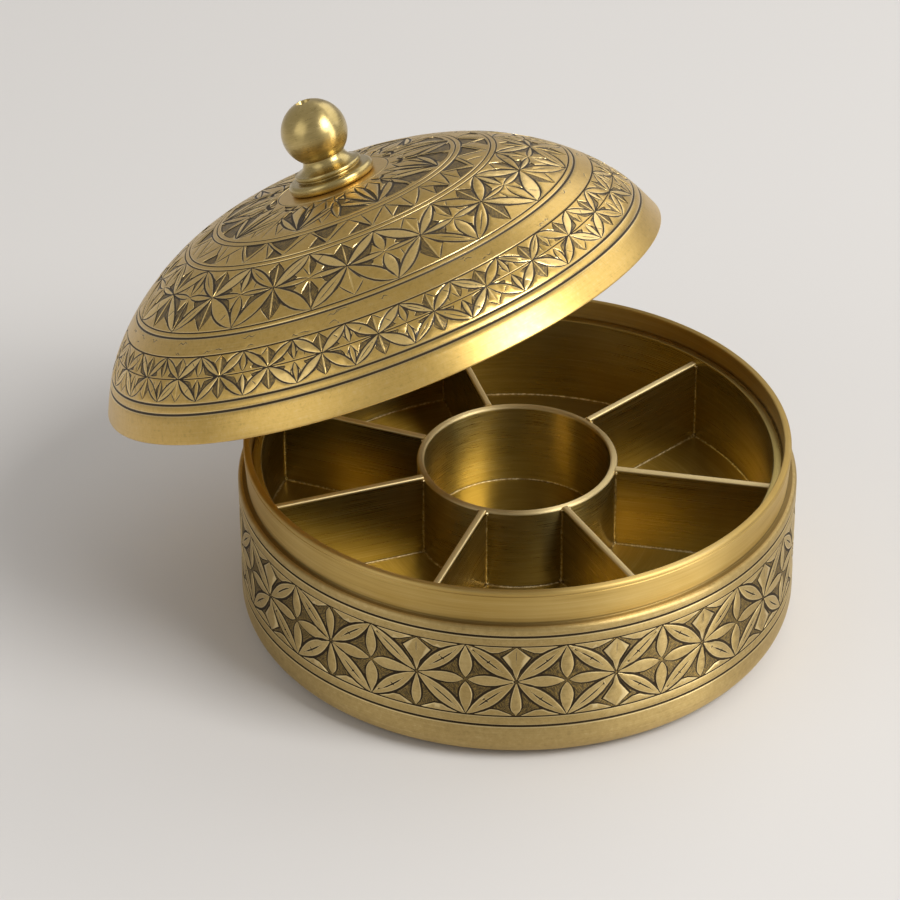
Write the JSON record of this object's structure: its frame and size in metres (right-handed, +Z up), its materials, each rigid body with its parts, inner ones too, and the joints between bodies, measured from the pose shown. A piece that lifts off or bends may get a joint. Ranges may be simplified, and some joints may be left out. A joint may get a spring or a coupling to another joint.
{
  "type": "paan box",
  "caption": "Round brass box with a lift-out tray of radial partitions round a central cup, and a loose engraved domed lid with a ball knob.",
  "frame": {"origin": "centre of the drum's flat base", "axes": "+Z up along the drum's axis; -Y is the side the lid is lifted clear of, towards the viewer"},
  "size_m": [0.2494, 0.2261, 0.1861],
  "materials": {
    "engraved_brass": "brushed antique, engraved",
    "plain_brass": "brushed antique",
    "tray_brass": "brushed, darkened",
    "fastener_brass": "plain turned"
  },
  "bodies": {
    "box": {"body_shell": "engraved_brass", "body_collar": "plain_brass", "tray_ledge": "plain_brass"},
    "tray": {"tray_wall": "tray_brass", "tray_floor": "tray_brass", "tray_cup": "tray_brass", "divider_1": "tray_brass", "divider_2": "tray_brass", "divider_3": "tray_brass", "divider_4": "tray_brass", "divider_5": "tray_brass", "divider_6": "tray_brass", "divider_7": "tray_brass"},
    "lid": {"lid_dome": "engraved_brass", "knob_base": "plain_brass", "knob_ball": "plain_brass", "knob_stud": "fastener_brass", "knob_washer": "fastener_brass", "knob_nut": "fastener_brass"}
  },
  "joints": [
    {"name": "tray_lift", "type": "slide", "parent": "box", "child": "tray", "axis": [0, 0, 1], "range_m": [0, 0.045]},
    {"name": "lid_swing", "type": "hinge", "parent": "tray", "child": "lid", "pos_m": [-0.1125, 0.0884, -0.0356], "axis": [0.5291, 0.8352, 0.15], "range_deg": [-20, 24.4]}
  ]
}
